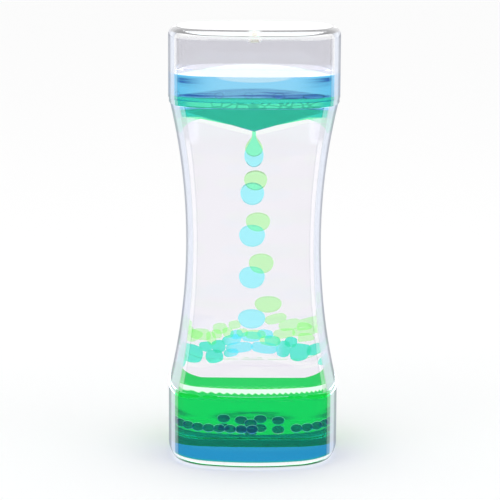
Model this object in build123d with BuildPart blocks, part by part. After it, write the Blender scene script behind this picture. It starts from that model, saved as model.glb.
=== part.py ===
from build123d import *
import math
import os

# A clear hourglass-shaped liquid timer with two chambers side by side, one behind the other.
# Units are millimetres. X is the width, Y runs from the front to the back, Z is up.
# The origin is the centre of the flat base.

# Overall size, and how far the flange, the tube's ends and the waist draw in from the cups' sides
body_width = 53.0
body_height = 133.5
cup_height = 21.5
flange_inset = 0.2
tube_end_inset = 0.45
waist_inset = 5.5
side_radius = 60.0
corner_radius = 14.0
end_edge_radius = 2.8

# Walls and fits
tube_wall = 1.6
cup_wall = 1.6
end_wall = 2.0
inner_edge_radius = 1.2
divider_thickness = 1.4
fit_gap = 0.1

# Drip plates: a flange between tube and cup, and a valley that leads to the nozzles
flange_thickness = 1.5
dish_rim = 2.05
valley_drop = 7.0
dish_edge_drop = 0.45
plate_thickness = 1.6
nozzle_bore = 1.6
nozzle_offset = 7.5
slot_width = 2.4
slot_start = 2.0
slot_end = 12.0

# Fill plugs in the top
plug_diameter = 2.5
plug_length = 4.6
boss_wall = 0.8
boss_height = 2.6

# Liquid levels: below the ceiling, above the valley, and below the lower cup's ledge
air_gap = 11.7
upper_green_depth = 6.95
lower_blue_drop = 10.5
lower_green_drop = 4.7

# Drops that hang from the nozzles
neck_diameter = 1.0
blue_pendant_length = 9.9
green_pendant_length = 7.7
pendant_radius = 2.65
pendant_bulge_share = 0.38

# Falling drops: the landing gap is left under the lowest one, and the gap shares divide the rest
blue_drop_radius = 3.5
blue_width_shares = (0.94, 1.03, 1.03, 1.09)
blue_height_shares = (1.03, 1.0, 1.0, 0.87)
blue_gap_shares = (0.2, 0.26, 0.26, 0.28)
blue_drift = -0.4
blue_drift_shares = (1, 1, 1, 1)
green_drop_radius = 3.15
green_width_shares = (0.92, 0.97, 0.99, 1.09)
green_height_shares = (1.05, 1.0, 1.05, 0.86)
green_gap_shares = (0.15, 0.28, 0.28, 0.29)
green_drift = 3.8
green_drift_shares = (0.12, 0.29, 0.52, 1)
landing_gap = 1.1
stream_clearance = 0.4

# Beads that have settled on the tent: layer heights, and each bead's share of the length
blue_layer_height = 4.0
blue_layer_shares = (
    (0.75, 0.85, 1.15, 1.1, 1.35, 1.35, 1.0, 1.05, 0.9),
    (0.8, 1.0, 1.45, 1.5, 1.45, 1.1, 0.9, 0.7),
)
green_layer_height = 3.8
green_layer_shares = (
    (0.9, 1.0, 1.1, 1.1, 1.2, 1.2, 1.1, 1.0, 0.9),
    (0.8, 0.95, 1.05, 1.2, 1.5, 1.5, 1.2, 0.8),
    (0.85, 0.8, 0.95, 0.9, 1.1, 1.9, 1.6, 1.0),
)
bead_gap = 0.12

# Small drops in and below the side slots of the lower plate
slot_drop_radius = 0.8
slot_drop_reach = 6.0
blue_slot_drop_height = 5.2
green_slot_drop_height = 2.6
green_slot_drop_pitch = 3.4
green_slot_drop_count = 2

# Beads that float where two liquids meet
floating_bead_radius = 1.4
floating_bead_band = 3.0
floating_bead_pitch = 3.3
floating_run_shares = ((-1.0, 0.0), (0.5, 1.0))
cluster_shares = ((-0.3, 0.2), (-0.12, 0.3), (0.08, 0.22), (0.27, 0.32), (-0.02, 0.5))
froth_radius = 0.85
froth_band = 2.0
froth_pitch = 2.0
froth_count = 19
froth_rows = 2
bubble_band = 2.2
bubble_radius = 1.0
bubble_shares = (
    (-0.38, 0.75, 1.1),
    (-0.06, 0.82, 1.0),
    (0.27, 0.72, 1.4),
    (0.62, 0.55, 2.0),
    (0.8, 0.36, 1.3),
)

# Number of levels that shape the hourglass, and the handle length that rounds a quarter
tube_levels = 9
quarter_round_share = 0.5523

# Heights and half widths worked out from the sizes above
middle = body_height / 2
ledge = body_height - cup_height
flange_under = ledge - flange_thickness
tube_length = 2 * flange_under - body_height
ceiling = body_height - end_wall
cup_half = body_width / 2
flange_half = cup_half - flange_inset
tube_end_half = cup_half - tube_end_inset
waist_half = cup_half - waist_inset
dish_half = tube_end_half - tube_wall - fit_gap - dish_rim
divider_half = divider_thickness / 2
valley_bottom = flange_under - valley_drop
slope = (valley_drop - dish_edge_drop) / dish_half
nozzle_mouth = valley_bottom - plate_thickness
tent_top = body_height - nozzle_mouth
liquid_top = ceiling - air_gap
blue_pile_top = tent_top + blue_layer_height * len(blue_layer_shares)
green_pile_top = tent_top + green_layer_height * len(green_layer_shares)
upper_green_level = valley_bottom + upper_green_depth
lower_blue_level = cup_height - lower_blue_drop
lower_green_level = cup_height - lower_green_drop
slot_middle = dish_half - slot_width / 2 - slot_drop_reach**2 / (4 * side_radius)
overrun = body_width

os.makedirs("parts", exist_ok=True)


def save(builder, name):
    """Label a finished piece and write its file."""
    builder.part.label = name
    export_step(builder.part, "parts/" + name + ".step")


def tube_half(z):
    """Outside half width of the tube at a height: an arc, narrowest at the middle."""
    sagitta = tube_end_half - waist_half
    reach = tube_length / 2
    radius = (reach**2 + sagitta**2) / (2 * sagitta)
    return waist_half + radius - math.sqrt(radius**2 - (z - middle) ** 2)


def cushion_shape(half):
    """Radii of the bowed sides and round corners, the corners' centre, and where they join."""
    grow = half / cup_half
    bow = side_radius * grow
    bend = corner_radius * grow
    shift = bow - half
    reach = bow - bend
    corner = (math.sqrt(2 * reach**2 - shift**2) - shift) / 2
    turn = math.atan2(corner, corner + shift)
    return bow, bend, shift, corner, turn


def cushion(half, inset=0.0, mode=Mode.ADD):
    """Cushion outline: four bowed sides joined by round corners, drawn in by an inset."""
    bow, bend, shift, corner, turn = cushion_shape(half)
    turn = math.degrees(turn)
    with BuildLine() as outline:
        for quarter in range(4):
            facing = 90 * quarter
            bow_centre = Vector(-shift, 0).rotate(Axis.Z, facing)
            bend_centre = Vector(corner, corner).rotate(Axis.Z, facing)
            CenterArc(bow_centre, bow - inset, facing - turn, 2 * turn)
            CenterArc(bend_centre, bend - inset, facing + turn, 90 - 2 * turn)
    make_face(outline.edges(), mode=mode)


def along_front(distance, inset):
    """Place inside the cup's wall, at a distance along it from the middle of the front."""
    bow, bend, shift, corner, turn = cushion_shape(cup_half)
    straight = (bow - inset) * turn
    if abs(distance) <= straight:
        angle = distance / (bow - inset)
        return (bow - inset) * math.sin(angle), shift - (bow - inset) * math.cos(angle)
    angle = turn + (abs(distance) - straight) / (bend - inset)
    x = corner + (bend - inset) * math.sin(angle)
    return math.copysign(x, distance), -corner - (bend - inset) * math.cos(angle)


def cushion_block(half, inset, low, high, mode=Mode.ADD):
    """Upright block with the cushion outline between two heights."""
    with BuildSketch(Plane.XY.offset(low)) as level:
        cushion(half, inset)
    extrude(level.sketch, amount=high - low, mode=mode)


def waisted_block(inset, low, high, mode=Mode.ADD):
    """Block with the tube's hourglass sides between two heights."""
    levels = []
    for step in range(tube_levels):
        z = low + (high - low) * step / (tube_levels - 1)
        with BuildSketch(Plane.XY.offset(z)) as level:
            cushion(tube_half(z), inset)
        levels.append(level.sketch)
    loft(levels, mode=mode)


def valley_line(x, lift):
    """Height of the valley's upper face at a place across the width, raised by a lift."""
    return valley_bottom + lift + slope * abs(x)


def above_valley(lift, top, mode=Mode.INTERSECT):
    """Everything above the valley's upper face, raised by a lift, up to a height."""
    reach = (top - valley_bottom - lift) / slope
    with BuildSketch(Plane.XZ) as face:
        with BuildLine() as outline:
            Polyline((-reach, top), (0, valley_bottom + lift), (reach, top), close=True)
        make_face(outline.edges())
    extrude(face.sketch, amount=overrun, both=True, mode=mode)


def slab(low, high, near, far, mode=Mode.INTERSECT):
    """Full-width slab between two heights and two distances from the divider."""
    with Locations((0, (near + far) / 2, (low + high) / 2)):
        Box(2 * overrun, abs(far - near), high - low, mode=mode)


def side_slab(side, low, high):
    """Keep what lies between two heights on one side of the divider."""
    near = divider_half + fit_gap
    slab(low, high, side * near, side * (near + overrun))


def upright(x, y):
    """Drawing plane that faces the front, with its upright axis at a place on the floor."""
    return Plane(origin=(x, y, 0), x_dir=(1, 0, 0), z_dir=(0, -1, 0))


def quarter_round(z, half_width, rise):
    """Quarter of an ellipse from the upright axis out to the widest place at a height."""
    side = quarter_round_share
    Bezier(
        (0, z + rise),
        (half_width * side, z + rise),
        (half_width, z + rise * side),
        (half_width, z),
    )


def spheroid(x, y, z, half_width, half_height):
    """Drop or bead: half an ellipse spun about its upright axis."""
    with BuildSketch(upright(x, y)) as half:
        with BuildLine() as outline:
            quarter_round(z, half_width, -half_height)
            quarter_round(z, half_width, half_height)
            Line((0, z + half_height), (0, z - half_height))
        make_face(outline.edges())
    revolve(half.sketch, axis=Axis((x, y, 0), (0, 0, 1)))


# Cups: the same cushion-shaped cup closes both ends
def hollow_cup():
    """Cup of the upper end, open at the bottom, with rounded outer and inner edges."""
    cushion_block(cup_half, 0, ledge, body_height)
    fillet(edges().group_by(Axis.Z)[-1], end_edge_radius)
    with BuildPart(mode=Mode.PRIVATE) as room:
        cushion_block(cup_half, cup_wall, ledge, ceiling)
        fillet(room.edges().group_by(Axis.Z)[-1], inner_edge_radius)
    add(room.part, mode=Mode.SUBTRACT)


with BuildPart() as plain_cup:
    hollow_cup()

with BuildPart() as top_cup:
    add(plain_cup.part)
    with Locations((0, -nozzle_offset, ceiling), (0, nozzle_offset, ceiling)):
        Cylinder(
            plug_diameter / 2 + fit_gap + boss_wall,
            boss_height,
            align=(Align.CENTER, Align.CENTER, Align.MAX),
        )
    with Locations((0, -nozzle_offset, body_height), (0, nozzle_offset, body_height)):
        Cylinder(
            plug_diameter / 2 + fit_gap,
            end_wall + boss_height,
            align=(Align.CENTER, Align.CENTER, Align.MAX),
            mode=Mode.SUBTRACT,
        )
save(top_cup, "top_cup")

with BuildPart() as bottom_cup:
    mirror(plain_cup.part, about=Plane.XY.offset(middle))
save(bottom_cup, "bottom_cup")

# Fill plugs, one for each chamber, set flush in the top
for name, side in (("front_fill_plug", -1), ("rear_fill_plug", 1)):
    with BuildPart() as fill_plug:
        with Locations((0, side * nozzle_offset, body_height)):
            Cylinder(
                plug_diameter / 2,
                plug_length,
                align=(Align.CENTER, Align.CENTER, Align.MAX),
            )
        chamfer(fill_plug.edges().group_by(Axis.Z)[0], fit_gap)
    save(fill_plug, name)

# Tube: a front and a rear shell that meet at the divider's plane
with BuildPart() as whole_tube:
    waisted_block(0, body_height - flange_under, flange_under)
    waisted_block(tube_wall, body_height - flange_under, flange_under, mode=Mode.SUBTRACT)

for name, keep in (("front_shell", Keep.TOP), ("rear_shell", Keep.BOTTOM)):
    with BuildPart() as shell:
        add(whole_tube.part)
        split(bisect_by=Plane.XZ, keep=keep)
    save(shell, name)

# Drip plates: the lower one is the upper one turned over
with BuildPart() as upper_drip_plate:
    waisted_block(tube_wall + fit_gap, middle, flange_under)
    cushion_block(flange_half, 0, flange_under, ledge)
    above_valley(-plate_thickness, ledge)
    with BuildPart(mode=Mode.PRIVATE) as dish:
        cushion_block(dish_half, 0, middle, ledge)
        above_valley(0, ledge)
    add(dish.part, mode=Mode.SUBTRACT)
    with BuildSketch(Plane.XY.offset(middle)) as slots:
        with GridLocations(2 * dish_half - slot_width, slot_start + slot_end, 2, 2):
            Rectangle(slot_width, slot_end - slot_start)
        cushion(dish_half, mode=Mode.INTERSECT)
    extrude(slots.sketch, amount=ledge - middle, mode=Mode.SUBTRACT)
    with Locations((0, -nozzle_offset, valley_bottom), (0, nozzle_offset, valley_bottom)):
        Cylinder(nozzle_bore / 2, 2 * valley_drop, mode=Mode.SUBTRACT)
save(upper_drip_plate, "upper_drip_plate")

with BuildPart() as lower_drip_plate:
    mirror(upper_drip_plate.part, about=Plane.XY.offset(middle))
save(lower_drip_plate, "lower_drip_plate")

# Rooms that the liquids and dividers fill, a fit gap inside their walls
with BuildPart() as upper_room:
    cushion_block(cup_half, cup_wall + fit_gap, ledge + fit_gap, ceiling - fit_gap)
    fillet(upper_room.edges().group_by(Axis.Z)[-1], inner_edge_radius)
    cushion_block(dish_half, fit_gap, middle, ledge + fit_gap)
    above_valley(fit_gap, body_height)

with BuildPart() as lower_room:
    mirror(upper_room.part, about=Plane.XY.offset(middle))

with BuildPart() as tube_room:
    waisted_block(tube_wall + fit_gap, body_height - flange_under, flange_under)
    with BuildPart(mode=Mode.PRIVATE) as over_valley:
        cushion_block(overrun, 0, middle, body_height)
        above_valley(-plate_thickness - fit_gap, body_height)
    add(over_valley.part, mode=Mode.SUBTRACT)
    mirror(over_valley.part, about=Plane.XY.offset(middle), mode=Mode.SUBTRACT)

# Dividers: flat sheets that keep the front and rear chambers apart
for name, room in (
    ("top_divider", upper_room),
    ("middle_divider", tube_room),
    ("bottom_divider", lower_room),
):
    with BuildPart() as divider:
        add(room.part)
        slab(0, body_height, -divider_half, divider_half)
    save(divider, name)

# Liquids in the upper chamber
with BuildPart() as upper_blue_liquid:
    add(upper_room.part)
    side_slab(-1, 0, liquid_top)
save(upper_blue_liquid, "upper_blue_liquid")

with BuildPart() as upper_green_liquid:
    add(upper_room.part)
    side_slab(1, 0, upper_green_level)
save(upper_green_liquid, "upper_green_liquid")

with BuildPart() as upper_rear_oil:
    add(upper_room.part)
    side_slab(1, upper_green_level + bubble_band, liquid_top)
save(upper_rear_oil, "upper_rear_oil")

# Oil bubbles that rest where the upper green liquid meets the oil
with BuildPart() as oil_bubbles:
    for across_share, back_share, width_share in bubble_shares:
        spheroid(
            dish_half * across_share,
            dish_half * back_share,
            upper_green_level + bubble_band / 2,
            bubble_radius * width_share,
            bubble_radius,
        )
save(oil_bubbles, "oil_bubbles")


# Drops that hang from the nozzles
def pendant(side, length):
    """Teardrop from the valley's upper face down through the nozzle."""
    neck = neck_diameter / 2
    tip = nozzle_mouth - length
    bulge = tip + length * pendant_bulge_share
    shoulder = (nozzle_mouth - bulge) / 2
    with BuildSketch(upright(0, side * nozzle_offset)) as profile:
        with BuildLine() as outline:
            Line((0, tip), (0, valley_bottom))
            Line((0, valley_bottom), (neck, valley_bottom))
            Line((neck, valley_bottom), (neck, nozzle_mouth))
            Bezier(
                (neck, nozzle_mouth),
                (neck, nozzle_mouth - shoulder),
                (pendant_radius, bulge + shoulder),
                (pendant_radius, bulge),
            )
            quarter_round(bulge, pendant_radius, tip - bulge)
        make_face(outline.edges())
    revolve(profile.sketch, axis=Axis((0, side * nozzle_offset, 0), (0, 0, 1)))


with BuildPart() as blue_pendant_drop:
    pendant(-1, blue_pendant_length)
save(blue_pendant_drop, "blue_pendant_drop")

with BuildPart() as green_pendant_drop:
    pendant(1, green_pendant_length)
save(green_pendant_drop, "green_pendant_drop")


# Falling drops, one file each, numbered from the top
def stream(colour, side, start, pile_top, radius, widths, heights, gaps, places):
    """Write the drops of one stream, from below the hanging drop down to the settled beads."""
    landing = pile_top - slope * abs(places[-1]) + landing_gap
    free = start - landing - 2 * radius * sum(heights)
    z = start
    for index, (width, height, gap, x) in enumerate(zip(widths, heights, gaps, places)):
        z -= free * gap + radius * height
        with BuildPart() as drop:
            spheroid(x, side * nozzle_offset, z, radius * width, radius * height)
        save(drop, colour + "_drop_" + str(index + 1))
        z -= radius * height


stream(
    "blue",
    -1,
    nozzle_mouth - blue_pendant_length,
    blue_pile_top,
    blue_drop_radius,
    blue_width_shares,
    blue_height_shares,
    blue_gap_shares,
    [blue_drift * share for share in blue_drift_shares],
)
stream(
    "green",
    1,
    nozzle_mouth - green_pendant_length,
    green_pile_top,
    green_drop_radius,
    green_width_shares,
    green_height_shares,
    green_gap_shares,
    [green_drift * share for share in green_drift_shares],
)


# Beads that have settled on the lower plate's tent
def settled_layers(side, layers, height):
    """Layers of beads along both slopes, each bead filling its share of the length."""
    reach = dish_half - slot_width
    for level, shares in enumerate(layers):
        left = -reach
        for share in shares:
            cell = 2 * reach * share / sum(shares)
            x = left + cell / 2
            left += cell
            half_width = cell / 2 - bead_gap
            room = height / 2 - bead_gap
            half_height = math.sqrt(room**2 - (slope * half_width) ** 2)
            z = tent_top - slope * abs(x) + height / 2 + height * level
            spheroid(x, side * nozzle_offset, z, half_width, half_height)


with BuildPart() as blue_settled_beads:
    settled_layers(-1, blue_layer_shares, blue_layer_height)
save(blue_settled_beads, "blue_settled_beads")

with BuildPart() as green_settled_beads:
    settled_layers(1, green_layer_shares, green_layer_height)
save(green_settled_beads, "green_settled_beads")


# Clear oil in the tube, with an open way round each stream of drops
def tube_oil(side, pile_top, drift, radius):
    """Oil on one side of the divider, from the settled beads up to the upper plate."""
    add(tube_room.part)
    side_slab(side, 0, body_height)
    reach = pile_top / slope
    with BuildPart(mode=Mode.PRIVATE) as beads_room:
        with BuildSketch(Plane.XZ) as face:
            with BuildLine() as outline:
                Polyline((-reach, 0), (0, pile_top), (reach, 0), close=True)
            make_face(outline.edges())
        extrude(face.sketch, amount=overrun, both=True)
    add(beads_room.part, mode=Mode.SUBTRACT)
    with BuildSketch() as way:
        with Locations((drift / 2, side * nozzle_offset)):
            SlotCenterToCenter(abs(drift), 2 * (radius + stream_clearance))
    extrude(way.sketch, amount=body_height, mode=Mode.SUBTRACT)


with BuildPart() as front_oil:
    tube_oil(
        -1,
        blue_pile_top,
        blue_drift,
        blue_drop_radius * max(blue_width_shares),
    )
save(front_oil, "front_oil")

with BuildPart() as rear_oil:
    tube_oil(
        1,
        green_pile_top,
        green_drift,
        green_drop_radius * max(green_width_shares),
    )
save(rear_oil, "rear_oil")

# Liquids in the lower chamber
with BuildPart() as lower_blue_liquid:
    add(lower_room.part)
    side_slab(-1, 0, lower_blue_level)
save(lower_blue_liquid, "lower_blue_liquid")

with BuildPart() as lower_green_liquid:
    add(lower_room.part)
    side_slab(1, 0, lower_green_level)
save(lower_green_liquid, "lower_green_liquid")


def lower_oil(side, low):
    """Oil under the tent on one side, with an open way below the slot that drops fall through."""
    add(lower_room.part)
    side_slab(side, low, body_height)
    with Locations((side * slot_middle, side * slot_drop_reach, 0)):
        Cylinder(slot_drop_radius + stream_clearance, body_height, mode=Mode.SUBTRACT)


with BuildPart() as lower_front_oil:
    lower_oil(-1, lower_blue_level + floating_bead_band)
save(lower_front_oil, "lower_front_oil")

with BuildPart() as lower_rear_oil:
    lower_oil(1, lower_green_level + froth_band)
save(lower_rear_oil, "lower_rear_oil")

# Drops on their way through the slots: blue at the left end, green at the right
slot_top = body_height - valley_line(slot_middle, -plate_thickness)

with BuildPart() as blue_slot_drop:
    spheroid(
        -slot_middle,
        -slot_drop_reach,
        slot_top - plate_thickness / 2,
        slot_drop_radius,
        blue_slot_drop_height / 2,
    )
save(blue_slot_drop, "blue_slot_drop")

with BuildPart() as green_slot_drops:
    for index in range(green_slot_drop_count):
        spheroid(
            slot_middle,
            slot_drop_reach,
            slot_top - index * green_slot_drop_pitch,
            slot_drop_radius,
            green_slot_drop_height / 2,
        )
save(green_slot_drops, "green_slot_drops")

# Blue beads that float on the blue liquid, in a row along the front wall and in a cluster
with BuildPart() as blue_floating_beads:
    bead_z = lower_blue_level + floating_bead_band / 2
    inset = cup_wall + floating_bead_radius + 2 * fit_gap
    for start_share, end_share in floating_run_shares:
        steps = round(cup_half * (end_share - start_share) / floating_bead_pitch)
        for step in range(steps + 1):
            place = cup_half * start_share + step * floating_bead_pitch
            x, y = along_front(place, inset)
            spheroid(x, y, bead_z, floating_bead_radius, floating_bead_radius)
    for across_share, front_share in cluster_shares:
        spheroid(
            cup_half * across_share,
            -cup_half * front_share,
            bead_z,
            floating_bead_radius,
            floating_bead_radius,
        )
save(blue_floating_beads, "blue_floating_beads")

# Froth of small green beads on the green liquid, in rows behind the divider
with BuildPart() as green_froth:
    for row in range(froth_rows):
        for place in range(froth_count):
            spheroid(
                froth_pitch * (place - (froth_count - 1) / 2) + row * froth_pitch / 2,
                divider_half + 2 * froth_radius + row * froth_pitch,
                lower_green_level + froth_band / 2,
                froth_radius,
                froth_radius,
            )
save(green_froth, "green_froth")
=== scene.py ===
import math

import bpy
from mathutils import Matrix, Vector


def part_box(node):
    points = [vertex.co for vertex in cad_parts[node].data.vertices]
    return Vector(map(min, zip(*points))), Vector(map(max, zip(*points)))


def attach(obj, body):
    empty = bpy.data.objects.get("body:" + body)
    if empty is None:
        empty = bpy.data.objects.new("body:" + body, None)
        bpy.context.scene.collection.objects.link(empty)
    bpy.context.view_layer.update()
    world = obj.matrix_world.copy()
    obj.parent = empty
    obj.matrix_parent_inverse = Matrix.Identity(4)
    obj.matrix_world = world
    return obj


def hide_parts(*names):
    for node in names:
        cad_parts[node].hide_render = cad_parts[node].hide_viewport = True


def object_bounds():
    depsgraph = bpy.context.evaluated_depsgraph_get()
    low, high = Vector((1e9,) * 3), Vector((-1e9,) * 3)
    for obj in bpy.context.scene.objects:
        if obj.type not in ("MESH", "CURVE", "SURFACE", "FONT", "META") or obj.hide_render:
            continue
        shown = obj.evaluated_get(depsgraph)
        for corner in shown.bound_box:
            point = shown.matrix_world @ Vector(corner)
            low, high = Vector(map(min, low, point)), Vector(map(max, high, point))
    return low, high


bl_info = {
    "name": "Liquid Motion Timer",
    "version": (1, 0, 0),
    "blender": (4, 5, 0),
    "location": "3D View > Sidebar > Timer",
    "description": "Builds a clear hourglass timer with blue and green drops falling through oil",
    "category": "Add Mesh",
}

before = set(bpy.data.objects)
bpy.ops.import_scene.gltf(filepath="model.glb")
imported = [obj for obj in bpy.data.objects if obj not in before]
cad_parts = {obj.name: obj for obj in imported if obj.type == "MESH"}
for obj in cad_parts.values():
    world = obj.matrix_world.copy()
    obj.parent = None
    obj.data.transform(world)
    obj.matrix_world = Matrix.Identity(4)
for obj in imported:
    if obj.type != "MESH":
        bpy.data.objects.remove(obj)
cad_low, cad_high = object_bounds()

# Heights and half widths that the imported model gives
body = "housing"
top_cup_low, top_cup_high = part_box("top_cup")
tube_low, tube_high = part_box("front_shell")
plate_low, plate_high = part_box("upper_drip_plate")
blue_low, blue_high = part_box("upper_blue_liquid")
green_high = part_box("upper_green_liquid")[1]
cup_half = top_cup_high.x
ledge = top_cup_low.z
top = top_cup_high.z
middle = (cad_low.z + cad_high.z) / 2
flange_under = tube_high.z
tube_end_half = -tube_low.y
flange_half = plate_high.x
room_half = blue_high.x
dish_room_half = green_high.x
valley_room_bottom = blue_low.z
liquid_top = blue_high.z
upper_green_level = green_high.z
divider_room = -blue_high.y
lower_blue_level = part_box("lower_blue_liquid")[1].z
lower_green_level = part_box("lower_green_liquid")[1].z

MM = 0.001
MERGE_DISTANCE = 1e-7
SMOOTH_ANGLE = math.radians(35)
PLUG_ANGLE = math.radians(50)
# Heights of a face's normal: a level face has more than the first, an upright one less than the
# second, and the rounded edge of a ceiling more than the third
LEVEL = 0.9
UPRIGHT = 0.5
ROUNDED_EDGE = 0.3
# Share of the dish's half width where the slots end
SLOT_REACH = 0.985
# Part of a small rounding that its middle step cuts off
ROUNDING_CUT = 0.3
DENT_SHARE = 0.55

# Refraction from one clear thing to the next
ACRYLIC_TO_AIR = 1.49
LIQUID_TO_AIR = 1.47
MATCHED = 1.0
SHEET_TO_LIQUID = 1.004
BLUE_TO_OIL = 0.92
FROTH_TO_OIL = 0.98
BUBBLE_TO_OIL = 1.03

# Strength of the light that surfaces give off
SURFACE_GLOW = 0.75
BOSS_GLOW = 0.07
PLUG_GLOW = 0.42
WATER_GLOW = 0.03
FILL_LAMP_SHARE = 0.6

LIGHT_BOUNCES = 40
GLOSSY_BOUNCES = 12

# Drops and beads
ROUND_SEGMENTS = 48
NOZZLE_SEGMENTS = 32
BEAD_SEGMENTS = 24
FROTH_SEGMENTS = 20
DROP_FLATNESS = 0.8
FROTH_FLATNESS = 0.92
DROP_SQUARENESS = 0.06
BEAD_SQUARENESS = 0.25
FROTH_SQUARENESS = 0.08
BEAD_SPREAD = 1.3
FROTH_SPREAD = 1.15
GREEN_PENDANT = 0.84
PENDANT_BULGE = 0.38
PENDANT_NECK = 0.0005
PENDANT_FADE = 1.6
BEAD_DEPTH = 0.0024
BEAD_DEPTH_CHANGE = 0.0005
BEAD_DEPTH_TURN = 2.4
BEAD_STAGGER = 0.0009
BEAD_STAGGER_TURN = 1.7
SLOT_DROP_HALF = 0.0013

# Painted places. Four numbers are the soft edges of a band: where it starts, is full, fades, is
# gone. Two numbers are one soft edge. Lengths are in metres, squared where the name says sides.
# Where the walls' bands of painted light and painted shade lie, by how far a face turns from the
# viewer and how it tilts
CUP_BANDS = (0.5, 0.62)
TUBE_BANDS = (0.34, 0.5)
OUTER_VEIL = 0.3
VEIL_SOFTNESS = 0.03
INNER_SOFTNESS = 0.04
THIN_WIDTH = 0.01
WALL_TILT = (0.2, 0.45)
BROW_TILT = (0.3, 0.6, 0.96, 0.995)
LID_TILT = (0.99, 0.999)
BLUISH_EDGE = (0.54, 0.6)
SECOND_LINE = (0.52, 0.54, 0.555, 0.57)
OUTLINE_EDGE = (0.82, 0.88)
FOOT_EDGES = (0.0006, 0.0011)
RING_FOOT = (0.0006, 0.0007)
FROTH_TOP = (0.0008, 0.0009)
RING_TOP = (0.0022, 0.0024)
SCALLOP_PITCH = 0.002
SCALLOP_RISE = 0.0004
SHOULDER_EDGES = (0.0028, 0.0036, 0.009, 0.012)
SHOULDER_SIDES = (0.0155**2, 0.0185**2)
FRONT_WALL = (0.015, 0.018)
STREAK_EDGES = (0.35, 0.6)
PALE_SIDES = (0.1, 0.75)
CRESCENT_DROP = 0.0034
CRESCENT_HEIGHT = 0.0046
CRESCENT_FOOT = (0.001, 0.0014)
CRESCENT_ROOF = (-0.0005, 0.0003)
WEDGE_DROP = 0.001
WEDGE_FOOT = (0.0034, 0.0052)
WEDGE_ROOF = (0.007, 0.0076)
WEDGE_SIDES = (0.22, 0.75)
BULGE_DEPTH = 0.0017
BULGE_HALF = 0.0118
BULGE_EDGES = (0.6, 1.0)
STRIP_EDGES = (-0.0016, -0.0014, -0.0003, 0.0)
BUBBLE_EDGES = (-0.0019, -0.0017, -0.0001, 0.0003)
BUBBLE_LEFT = (-0.0135, -0.0115)
BUBBLE_RIGHT = (0.7, 0.8)
BUBBLE_OUTLINE = (0.03, 0.11)
LENS_REAR = 0.0206
LENS_BOW = 0.0391
LENS_HALF = 0.0235
LENS_EDGES = (0.0, 0.002)
FLOOR_TEAL_EDGES = (0.0022, 0.003)
SURFACE_BLUE_EDGES = (0.0052, 0.0066)
MOTTLE_SIDES = (0.014**2, 0.022**2)
SPOT_EDGES = (0.25, 0.6)
PATCH_EDGES = (0.45, 0.62)
SWIRL_STREAK = (0.4, 0.6)
SWIRL_EDGES = (0.35, 1.0)
SWIRL_HEIGHT = 0.0074
SWIRL_RISE = 0.0024
SWIRL_HALF = 0.0115
TEAL_BEAD_SIDES = (0.005**2, 0.009**2)
CROWN_TILT = (0.25, 0.75)
CROWN_FACING = (0.42, 0.62)
RIM_TILT = (-0.1, 0.3)
RIM_FACING = (0.6, 0.8)
BUBBLE_FACING = (0.5, 0.7)
HIGH_SKY_EDGES = (0.12, 0.5)

# How fine each pattern is along the three axes, in waves or cells for each metre
CLOUD_GRAIN = (120, 120, 120)
PLUG_GRAIN = (900, 900, 900)
STREAK_GRAIN = (60, 60, 1600)
BUBBLE_GRAIN = (340, 0, 620)
SPOT_GRAIN = (620, 620, 620)
PATCH_GRAIN = (260, 260, 260)
SWIRL_GRAIN = (150, 60, 1100)

# How strongly a painted patch covers what lies under it
WALL_COVER = 0.85
BROW_COVER = 0.3
SECOND_COVER = 0.8
THIN_COVER = 0.35
RING_COVER = 0.95
SHOULDER_COVER = 0.9
FOOT_COVER = 0.9
BUBBLE_COVER = 0.75
MOTTLE_COVER = 0.9
RIM_COVER = 0.85
GLINT_COVER = 0.5
GLINT_TINT = 0.4
# The least that stays of a patch where its streaks, or a low place, thin it out
LEAST_CRESCENT = 0.55
LEAST_WEDGE = 0.4
LEAST_SWIRL = 0.35
LEAST_CROWN = 0.1

# Painted tints and glows
WHITE = (1.0, 1.0, 1.0)
NO_GLOW = (0.0, 0.0, 0.0)
FLOOR_WHITE = (0.97, 0.97, 0.97)
SHEET_TINT = (0.985, 0.985, 0.995)
CLOUD_PALE = 0.12
CLOUD_DARK = 0.985
PLUG_DARK = 0.9
PLUG_ROUGHNESS = 0.3
PLUG_UNEVENNESS = 0.2
# Painted shade along the upper outline of a drop
CROWN_DARK = 0.04
# Painted light and painted shade of the walls' outline bands: pale and bluish glows, grey lines, a
# dark body that hides what lies behind, a painted highlight on the rounded brow and a painted sheen
# on the flat lid
WALL_PALE = (0.9, 0.9, 0.92)
WALL_BLUISH = (0.7, 0.74, 0.83)
WALL_BODY = (0.06, 0.065, 0.07)
SECOND_GREY = (0.45, 0.48, 0.55)
OUTLINE_GREY = (0.34, 0.36, 0.42)
THIN_GREY = (0.4, 0.4, 0.46)
BROW_GLOW = (0.9, 0.9, 0.93)
LID_GLOW = (0.26, 0.26, 0.27)
# Painted light: the pale foot of the bottom cup, the pale ring low on the tube with a green glow
# where the froth's scallops lie, and the pale corners under the upper flange
FOOT_GLOW = (0.78, 0.78, 0.82)
RING_GLOW = (0.84, 0.84, 0.88)
FROTH_GLOW = (0.5, 0.8, 0.52)
SHOULDER_GLOW = (0.62, 0.61, 0.68)
PALE_BLUE = (0.3, 0.74, 0.99)
DEEP_TEAL = (0.07, 0.37, 0.43)
# Painted shade in the upper blue: bubbles' dark outlines, a dark crescent where the green surface
# reflects dim surroundings, and a dark wedge at each side
BUBBLE_LINE = (0.02, 0.3, 0.36)
CRESCENT_BLUE = (0.0002, 0.02, 0.24)
WEDGE_BLUE = (0.0004, 0.03, 0.25)
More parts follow.
